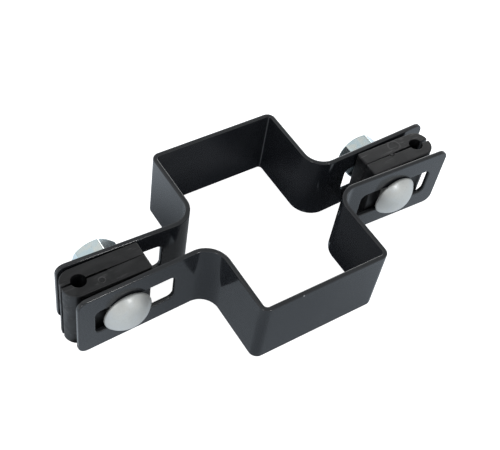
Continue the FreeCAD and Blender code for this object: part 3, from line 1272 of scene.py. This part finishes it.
    def tools(self) -> list[tuple[Joining, bpy.types.Object]]:
        """Makes the solids that shape the half.

        Returns:
            The solids in order, each with its way of joining.
        """
        middle = (self.low + self.high) / 2
        past = self.face + self.cut_past
        rear = self.side is Side.REAR
        post = circle((self.rib_x, 0.0), self.rib if rear else self.groove, self.rib_steps)
        rises = ((1.0, -self.rib_length), *(self.rib_top if rear else self.groove_top))
        rib = [
            [(self.rib_x + (x - self.rib_x) * share, y * share, self.high + rise) for x, y in post]
            for share, rise in rises
        ]
        made = [(Joining.ADDED if rear else Joining.CUT, self.tool("rib", rib))]
        around = circle((0.0, middle), self.hole, self.hole_steps)
        hole = [[(x, y, z) for x, z in around] for y in (self.hole_start, past)]
        made.append((Joining.CUT, self.tool("hole", hole)))
        if not rear:
            reach = self.hole
            square = [(-reach, -reach), (reach, -reach), (reach, reach), (-reach, reach)]
            seat = [[(x, y, middle + z) for x, z in square] for y in (self.seat_floor, past)]
            made.append((Joining.CUT, self.tool("seat", seat)))
        level, way = (self.high, -1) if rear else (self.low, 1)
        rows = (
            (self.mark + self.mark_flare, -self.mark_flare),
            (self.mark, 0.0),
            (self.mark - self.mark_taper, self.mark_deep),
        )
        mark = []
        for reach, rise in rows:
            around = circle((self.mark_x, self.mark_y), reach, self.mark_steps)
            mark.append([(x, y, level + way * rise) for x, y in around])
        made.append((Joining.CUT, self.tool("mark", mark)))
        return made

    def note_mark(self, mesh: bpy.types.Mesh) -> None:
        """Notes on each point where it lies from the tool's mark.

        The note is the place across the mark, in the mark's radius, and the nearness of the marked face.

        Args:
            mesh: the half's mesh.
        """
        level = self.place(0.0, 0.0, self.high if self.side is Side.REAR else self.low)[2]
        tall = self.high - self.low
        noted = mesh.attributes.new("mark", "FLOAT_VECTOR", "POINT")
        for vert, value in zip(mesh.vertices, noted.data):
            x, y, z = vert.co / MM
            off_x = self.end.value * (x - self.bolt_x) - self.mark_x
            off_y = self.side.value * (y - self.lean) - self.mark_y
            value.vector = (off_x / self.mark, off_y / self.mark, 1.0 - abs(z - level) / tall)

    def build(self) -> None:
        """Moulds the half, cuts it and hands it over."""
        piece = link(self.node + "_moulded", self.moulding())
        tools = self.tools()
        for joining, solid in tools:
            cut = piece.modifiers.new(solid.name, "BOOLEAN")
            cut.operation, cut.solver, cut.object = joining.value, "EXACT", solid
        settle(piece)
        for _, solid in tools:
            bpy.data.objects.remove(solid)
        self.note_mark(piece.data)
        crease(piece.data, self.crease_angle)
        piece.data.materials.clear()
        piece.data.materials.append(self.finish.material())
        hand_over(piece, self.node, self.finish)


# The fasteners


class Lathe:
    """Makes rings round an axis along Y."""

    def __init__(self, shell: Shell, axis: Point, count: int, start: float = 0.0) -> None:
        """Sets the axis and the angles of the rings' points.

        Args:
            shell: where the rings go.
            axis: the axis' x and z.
            count: points in a ring.
            start: angle of the first point, in radians.
        """
        self.shell = shell
        self.x, self.z = axis
        self.angles = [start + math.tau * step / count for step in range(count)]

    def ring(self, y: float | Reach, reach: float | Reach, rim: float = 0.0, threaded: float = 0.0) -> Ring:
        """Adds a ring.

        Args:
            y: place along the axis, or a rule that gives it by angle.
            reach: distance from the axis, or a rule that gives it by angle.
            rim: 1 on a rounded edge.
            threaded: 1 where the thread is cut.

        Returns:
            The ring's points.
        """
        points = []
        for angle in self.angles:
            off = reach(angle) if callable(reach) else reach
            along = y(angle) if callable(y) else y
            points.append((self.x + off * math.cos(angle), along, self.z + off * math.sin(angle)))
        return self.shell.ring(points, rim, threaded)


def polygon_reach(sides: int, flat: float, radius: float, turn: float = 0.0) -> Reach:
    """Distance from the middle to the edge of a polygon with rounded corners.

    Args:
        sides: number of sides.
        flat: distance from the middle to a side.
        radius: the corners' radius.
        turn: angle of the first side's middle.

    Returns:
        A rule that gives the distance by angle.
    """
    half = math.pi / sides
    corner = (flat - radius) / math.cos(half)

    def reach(angle: float) -> float:
        """Works out the distance.

        Args:
            angle: in radians.

        Returns:
            The distance at that angle.
        """
        off = abs((angle - turn + half) % (2 * half) - half)
        if flat * math.tan(off) <= (flat - radius) * math.tan(half):
            return flat / math.cos(off)
        lag = half - off
        return corner * math.cos(lag) + math.sqrt(radius ** 2 - (corner * math.sin(lag)) ** 2)

    return reach


@dataclass
class Fastener(ABC):
    """A plated piece with a thread, turned about an axis along Y."""

    end: End
    bolt_x: float
    finish: Finish = BOLT_PLATING
    middle: float = 12.0
    pitch: float = 1.25
    thread_depth: float = 0.62
    thread_step: float = 0.1
    crease_angle: float = 50.0
    kind: ClassVar[str]

    def __post_init__(self) -> None:
        """Takes the ends along the axis from the CAD node."""
        self.node = f"{self.end.word}_{self.kind}"
        low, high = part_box(self.node)
        self.near_y, self.far_y = low.y / MM, high.y / MM

    @abstractmethod
    def turned(self, shell: Shell) -> Triple:
        """Turns the piece, with a plain surface where the thread will be.

        Args:
            shell: where its faces go.

        Returns:
            The thread's first and last place along the axis, and the length of its run-out.
        """

    def thread_rings(self, lathe: Lathe, first: float, last: float, reach: float) -> list[Ring]:
        """Turns rings that are close enough to carry the thread.

        Args:
            lathe: where the rings are turned.
            first: place of the first ring.
            last: place of the last ring.
            reach: distance from the axis.

        Returns:
            The rings, in order.
        """
        count = round(abs(last - first) / self.thread_step)
        places = [first + (last - first) * step / count for step in range(count + 1)]
        return [lathe.ring(place, reach, threaded=1.0) for place in places]

    def build(self) -> None:
        """Turns the piece, cuts its thread and hands it over."""
        shell = Shell()
        first, last, run_out = self.turned(shell)
        piece = link(self.node + "_plated", shell.mesh(self.node + "_skin"))
        DIE.use(
            piece, self.finish, axis_x=self.bolt_x * MM, axis_z=self.middle * MM, pitch=self.pitch * MM,
            depth=self.thread_depth * MM, first=first * MM, last=last * MM, run_out=run_out * MM,
        )
        crease(piece.data, self.crease_angle)
        hand_over(piece, self.node, self.finish)


@dataclass
class CarriageBolt(Fastener):
    """A plain domed bolt with a square neck, its head in front.

    The rows of the rim give inset, place from the lip or the seat, and rim value.
    """

    kind: ClassVar[str] = "carriage_bolt"
    head: float = 7.4
    head_tall: float = 4.6
    head_rim: float = 0.7
    crown_share: float = 0.985
    lip_rows: tuple[Triple, ...] = ((0.03, 0.04, 0.6), (0.0, 0.16, 1.0))
    seat_rows: tuple[Triple, ...] = (
        (0.0, -0.22, 1.0), (0.07, -0.06, 1.0), (0.22, 0.0, 0.4), (0.35, 0.0, 0.0),
    )
    neck: float = 4.0
    neck_corner: float = 0.5
    neck_length: float = 5.0
    neck_taper: float = 0.5
    taper_corner: float = 1.6
    shank: float = 3.9
    shank_start: float = 0.15
    thread_start: float = 0.6
    thread_past: float = 1.0
    run_out: float = 1.0
    chamfer: float = 0.8
    guard: float = 0.1
    crown_steps: int = 28
    chamfer_steps: int = 6
    around: int = 96

    def crown(self, lathe: Lathe, seat: float) -> list[Ring]:
        """Turns the head from its crown to its underside.

        Args:
            lathe: where the rings are turned.
            seat: place of the head's underside.

        Returns:
            The rings, the smallest first.
        """
        rise = self.head_tall - self.head_rim
        ball = (self.head ** 2 + rise ** 2) / (2 * rise)
        spread = math.asin(self.head / ball)
        rings = []
        for step in range(1, self.crown_steps + 1):
            angle = spread * step / self.crown_steps * self.crown_share
            rings.append(lathe.ring(self.near_y + ball * (1 - math.cos(angle)), ball * math.sin(angle)))
        for start, rows in ((seat - self.head_rim, self.lip_rows), (seat, self.seat_rows)):
            rings += [lathe.ring(start + along, self.head - inset, rim) for inset, along, rim in rows]
        return rings

    def turned(self, shell: Shell) -> Triple:
        """Turns head, square neck, shank and chamfered tail.

        Args:
            shell: where the faces go.

        Returns:
            The thread's first and last place along the axis, and the length of its run-out.
        """
        lathe = Lathe(shell, (self.bolt_x, self.middle), self.around)
        seat = self.near_y + self.head_tall
        neck_end = seat + self.neck_length
        rings = self.crown(lathe, seat)
        square = polygon_reach(4, self.neck, self.neck_corner)
        for y in (seat, seat + self.guard, neck_end - self.neck_taper):
            rings.append(lathe.ring(y, square))
        rings.append(lathe.ring(neck_end, polygon_reach(4, self.shank, self.taper_corner)))
        rings.append(lathe.ring(neck_end + self.shank_start, self.shank))
        first, last = neck_end + self.thread_start, self.far_y - self.chamfer
        rings += self.thread_rings(lathe, first, last, self.shank)
        for step in range(1, self.chamfer_steps + 1):
            share = step / self.chamfer_steps
            off = self.chamfer * share
            rings.append(lathe.ring(last + off, self.shank - off, threaded=1.0 - share))
        rings.append(lathe.ring(self.far_y, self.shank - self.chamfer - self.guard))
        shell.bridge(rings)
        shell.fan(rings[0], (self.bolt_x, self.near_y, self.middle))
        shell.fan(rings[-1], (self.bolt_x, self.far_y, self.middle))
        return first, self.far_y + self.thread_past, self.run_out


@dataclass
class HexagonNut(Fastener):
    """A chamfered hexagon nut behind the rear flange.

    Its tilt turns the hexagon about the bolt, in degrees. The rows of the edge give place past the chamfer,
    inset and rim value.
    """

    kind: ClassVar[str] = "nut"
    finish: Finish = NUT_PLATING
    tilt: float = 0.0
    flat: float = 6.5
    face: float = 6.11
    corner: float = 0.45
    bore: float = 4.0
    countersink: float = 4.5
    guard: float = 0.1
    sink_edge: float = 0.08
    face_guard: float = 0.12
    face_edge: float = 0.02
    chamfer_angle: float = 30.0
    chamfer_shares: tuple[float, ...] = (0.3, 0.65, 0.9)
    edge_rows: tuple[Triple, ...] = ((0.02, 0.05, 1.0), (0.12, 0.0, 0.6), (0.3, 0.0, 0.0))
    thread_past: float = 0.3
    run_out: float = 0.6
    around: int = 144

    def flank(self, lathe: Lathe, y: float, way: int) -> list[Ring]:
        """Turns an end face and its chamfer, down to the hexagon's side.

        Args:
            lathe: where the rings are turned.
            y: the end face.
            way: 1 where the nut lies towards +Y from the face, else -1.

        Returns:
            The rings, the innermost first.
        """
        side = polygon_reach(6, self.flat, self.corner, math.radians(self.tilt))
        slope = math.tan(math.radians(self.chamfer_angle))

        def cone(share: float, past: float = 0.0, inset: float = 0.0) -> tuple[Reach, Reach]:
            """Rules for a ring on the chamfer.

            Args:
                share: how far down the chamfer, 0 to 1.
                past: a further move along the axis.
                inset: a move towards the axis.

            Returns:
                Place along the axis and distance from it, by angle.
            """
            def beyond(angle: float) -> float:
                """How far the ring reaches beyond the round end face at an angle."""
                return (side(angle) - self.face) * share

            def along(angle: float) -> float:
                """Place along the axis at an angle."""
                return y + way * beyond(angle) * slope + way * past

            def reach(angle: float) -> float:
                """Distance from the axis at an angle."""
                return self.face + beyond(angle) - inset

            return along, reach

        rings = [lathe.ring(y, self.countersink), lathe.ring(y, self.countersink + self.guard)]
        rings.append(lathe.ring(y, self.face - self.face_guard))
        rings.append(lathe.ring(y + way * self.face_edge, self.face + self.face_edge, 0.5))
        rings += [lathe.ring(*cone(share)) for share in self.chamfer_shares]
        rings += [lathe.ring(*cone(1.0, past, inset), rim) for past, inset, rim in self.edge_rows]
        return rings

    def turned(self, shell: Shell) -> Triple:
        """Turns both ends, the countersinks and the bore.

        Args:
            shell: where the faces go.

        Returns:
            The thread's first and last place along the axis, and the length of its run-out.
        """
        lathe = Lathe(shell, (self.bolt_x, self.middle), self.around, math.radians(self.tilt))
        rings = self.flank(lathe, self.near_y, 1) + self.flank(lathe, self.far_y, -1)[::-1]
        sunk = self.countersink - self.bore
        low, high = self.near_y + sunk, self.far_y - sunk
        rings.append(lathe.ring(self.far_y - self.sink_edge, self.countersink - self.sink_edge))
        rings += self.thread_rings(lathe, high, low, self.bore)
        rings.append(lathe.ring(self.near_y + self.sink_edge, self.countersink - self.sink_edge))
        shell.bridge(rings, closed=True)
        return low - self.thread_past, high + self.thread_past, self.run_out


# The studio, in metres


@dataclass(frozen=True)
class SoftLight:
    """A square soft light that faces the bracket, its power in watts."""

    name: str
    stand: Triple
    size: float
    power: float

    def hang(self) -> None:
        """Hangs the light at its stand."""
        data = bpy.data.lights.new(self.name, "AREA")
        data.shape, data.size, data.energy = "SQUARE", self.size, self.power
        stand = Vector(self.stand)
        turn = (-stand).to_track_quat("-Z", "Y").to_matrix().to_4x4()
        link(self.name, data).matrix_world = Matrix.Translation(stand) @ turn


@dataclass(frozen=True)
class Slope:
    """A smooth change of tone along one axis of the card."""

    axis: str
    start: float
    stop: float
    amount: float = 1.0

    def on(self, place: Made) -> Signal:
        """The change at a place, from 0 at the start to the full amount at the stop."""
        return self.amount * place.out(self.axis).ramp(self.start, self.stop)


@dataclass
class Studio:
    """A pale light table, soft light and the camera of the photograph.

    The camera's target and distance are millimetres and its angles degrees.
    """

    focal_px: float = 944.762
    image_px: float = 500.0
    sensor: float = 36.0
    clip: Point = (0.01, 50.0)
    azimuth: float = -40.887
    elevation: float = 50.467
    roll: float = 11.144
    target: Triple = (-2.620, 3.018, 12.09)
    distance: float = 288.646
    floor_size: float = 6.0
    floor_glow: float = 0.9
    floor_rough: float = 0.9
    floor_grain: Pattern = Pattern(400.0)
    floor_shades: tuple[Triple, Triple] = ((0.80, 0.80, 0.80), (0.82, 0.82, 0.82))
    card_level: float = -0.0002
    ring_half: Point = (0.0213, 0.0315)
    gap_half: Point = (0.066, 0.0062)
    post_half: Point = (0.0205, 0.03075)
    # the gloss card's tones are painted reflection; the dim tones near and within the bracket are painted
    # shade
    near_card_painted_shade: float = 0.36
    far_card: float = 0.62
    far_reach: float = 0.06
    end_share: float = 0.8
    side_share: float = 0.5
    right_card: Slope = Slope("X", 0.0, 0.06, 0.20)
    left_card: Slope = Slope("X", -0.03, -0.06, 0.18)
    back_card: Slope = Slope("Y", 0.015, 0.055, 0.45)
    leg_painted_shade: Slope = Slope("Y", 0.004, 0.012, 0.22)
    leg_painted_shade_place: float = 0.022
    leg_painted_shade_reach: float = 0.012
    wall_painted_shade_reach: float = 0.013
    card_tint: Triple = (0.90, 1.00, 1.10)
    inner_card_painted_shade: Triple = (0.135, 0.145, 0.160)
    wall_card_painted_shade: Triple = (0.020, 0.022, 0.026)
    root_painted_light: Triple = (0.20, 0.21, 0.22)
    root_painted_light_patch: tuple[Slope, ...] = (
        Slope("X", -0.037, -0.031), Slope("X", 0.0, -0.006),
        Slope("Y", -0.008, -0.005), Slope("Y", 0.016, 0.012),
    )
    sky_stops: tuple[tuple[float, Triple], ...] = (
        (0.0, (1.0, 1.0, 1.0)), (0.45, (0.70, 0.71, 0.72)),
        (0.75, (0.42, 0.43, 0.44)), (1.0, (0.50, 0.51, 0.52)),
    )
    lights: tuple[SoftLight, ...] = (
        SoftLight("top_light", (-0.17, 0.38, 0.69), 0.6, 0.4),
        SoftLight("key_light", (0.12, -0.57, 0.48), 0.1, 0.8),
        SoftLight("left_light", (-0.53, -0.22, 0.41), 0.16, 0.5),
        SoftLight("back_light", (0.49, 0.52, 0.24), 0.4, 1.6),
    )

    def camera(self) -> None:
        """Stands the camera where the photograph was taken."""
        turn, rise, roll = (math.radians(angle) for angle in (self.azimuth, self.elevation, self.roll))
        back = Vector((math.sin(turn) * math.cos(rise), -math.cos(turn) * math.cos(rise), math.sin(rise)))
        right = (-back).cross(Vector((0.0, 0.0, 1.0))).normalized()
        above = right.cross(-back)
        across = right * math.cos(roll) + above * math.sin(roll)
        up = above * math.cos(roll) - right * math.sin(roll)
        data = bpy.data.cameras.new("camera")
        data.sensor_fit, data.sensor_width = "HORIZONTAL", self.sensor
        data.lens = self.focal_px * self.sensor / self.image_px
        data.clip_start, data.clip_end = self.clip
        camera = link("camera", data)
        stand = (Vector(self.target) + back * self.distance) * MM
        camera.matrix_world = Matrix.Translation(stand) @ Matrix((across, up, back)).transposed().to_4x4()
        bpy.context.scene.camera = camera

    def sheet(self, name: str, height: float) -> tuple[bpy.types.Object, Graph]:
        """Lays a wide level sheet with an empty material.

        Args:
            name: the sheet's and its material's name.
            height: its level.

        Returns:
            The sheet and its material's graph.
        """
        reach = self.floor_size
        square = ((-reach, -reach), (reach, -reach), (reach, reach), (-reach, reach))
        mesh = bpy.data.meshes.new(name)
        mesh.from_pydata([(x, y, height) for x, y in square], [], [(0, 1, 2, 3)])
        material = bpy.data.materials.new(name)
        graph = Graph.cleared(material)
        material.cycles.emission_sampling = "NONE"
        mesh.materials.append(material)
        piece = link(name, mesh)
        piece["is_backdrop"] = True
        return piece, graph

    def floor(self) -> None:
        """Lays the pale table top, which the gloss of the pieces doesn't show."""
        piece, graph = self.sheet("table_top", 0.0)
        inputs = {
            "Base Color": graph.blend(self.floor_grain.on(graph.place()), *self.floor_shades),
            "Roughness": self.floor_rough,
            "Specular IOR Level": 0.0,
            "Emission Color": (1.0, 1.0, 1.0, 1.0),
            "Emission Strength": self.floor_glow,
        }
        shader = graph.add("ShaderNodeBsdfPrincipled", {}, inputs)
        graph.add("ShaderNodeOutputMaterial", {}, {"Surface": shader.out()})
        piece.visible_glossy = False

    def gloss_card(self) -> None:
        """Lays the glowing card under the table that only gloss shows, a painted reflection: painted shade
        within and near the bracket, paler away from it.
        """
        piece, graph = self.sheet("gloss_card", self.card_level)
        place = graph.split(graph.place())
        x, y = abs(place.out("X")), abs(place.out("Y"))
        (ring_x, ring_y), (gap_x, gap_y), (post_x, post_y) = self.ring_half, self.gap_half, self.post_half
        # painted shade in the reflections: dim within the ring and the flange gaps, dimmer near the bracket
        # and by the rear-left leg; brighter to the right, left and back
        ring = (x - ring_x).most(y - ring_y) < 0.0
        gap = (x < gap_x) * (y < gap_y)
        outward = (x - ring_x).most(0.0) * self.end_share + (y - gap_y).most(0.0) * self.side_share
        pale = self.near_card_painted_shade + (self.far_card - self.near_card_painted_shade) * outward.ramp(0.0, self.far_reach)
        for slope in (self.right_card, self.left_card, self.back_card):
            pale = pale + slope.on(place)
        pale = pale - self.leg_painted_shade.on(place) * (x - self.leg_painted_shade_place).ramp(self.leg_painted_shade_reach, 0.0)
        # painted shade: darker next to the inner walls
        wall_shade_fade = (post_x - x).least(post_y - y).ramp(0.0, self.wall_painted_shade_reach)
        # painted light: a paler patch inside the ring that lightens the reflection in the rear-left root bend
        patch = 1.0
        for slope in self.root_painted_light_patch:
            patch = patch * slope.on(place)
        inner = graph.blend(patch, graph.blend(wall_shade_fade, self.wall_card_painted_shade, self.inner_card_painted_shade), self.root_painted_light)
        outer = graph.blend(pale, (0.0, 0.0, 0.0), self.card_tint)
        light = graph.blend(ring.most(gap), outer, inner)
        shader = graph.add("ShaderNodeEmission", {}, {"Color": light, "Strength": 1.0})
        graph.add("ShaderNodeOutputMaterial", {}, {"Surface": shader.out()})
        piece.visible_camera = piece.visible_diffuse = piece.visible_shadow = False

    def sky(self) -> None:
        """Surrounds the table with soft light, paler towards the horizon."""
        world = bpy.data.worlds.new("studio")
        graph = Graph.cleared(world)
        height = graph.split(graph.add("ShaderNodeTexCoord").out("Generated")).out("Z")
        tint = graph.add("ShaderNodeValToRGB", {"stops": self.sky_stops}, {0: height}).out()
        light = graph.add("ShaderNodeBackground", {}, {"Color": tint, "Strength": 1.0})
        graph.add("ShaderNodeOutputWorld", {}, {"Surface": light.out()})
        bpy.context.scene.world = world

    def build(self) -> None:
        """Sets up camera, floor and light, and plain colour."""
        self.camera()
        self.floor()
        self.gloss_card()
        self.sky()
        for light in self.lights:
            light.hang()
        view = bpy.context.scene.view_settings
        view.view_transform, view.look = "Standard", "None"


# The bracket


def main() -> None:
    """Builds every piece in order."""
    logging.basicConfig(level=logging.INFO, format="%(name)s: %(message)s")
    for side in Side:
        FoldedStrip(side).build()
    nut_tilts = {End.LEFT: -10.0, End.RIGHT: -14.0}
    for end in End:
        low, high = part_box(f"{end.word}_carriage_bolt")
        bolt_x = round((low.x + high.x) / 2 / MM, 3)
        for side in Side:
            ClampHalf(end, side, bolt_x).build()
        CarriageBolt(end, bolt_x).build()
        HexagonNut(end, bolt_x, tilt=nut_tilts[end]).build()
    Studio().build()
    boxes = {"cad": CAD_BOX, "visual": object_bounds()}
    {name: [list(corner) for corner in corners] for name, corners in boxes.items()}


if __name__ == "__main__":
    main()
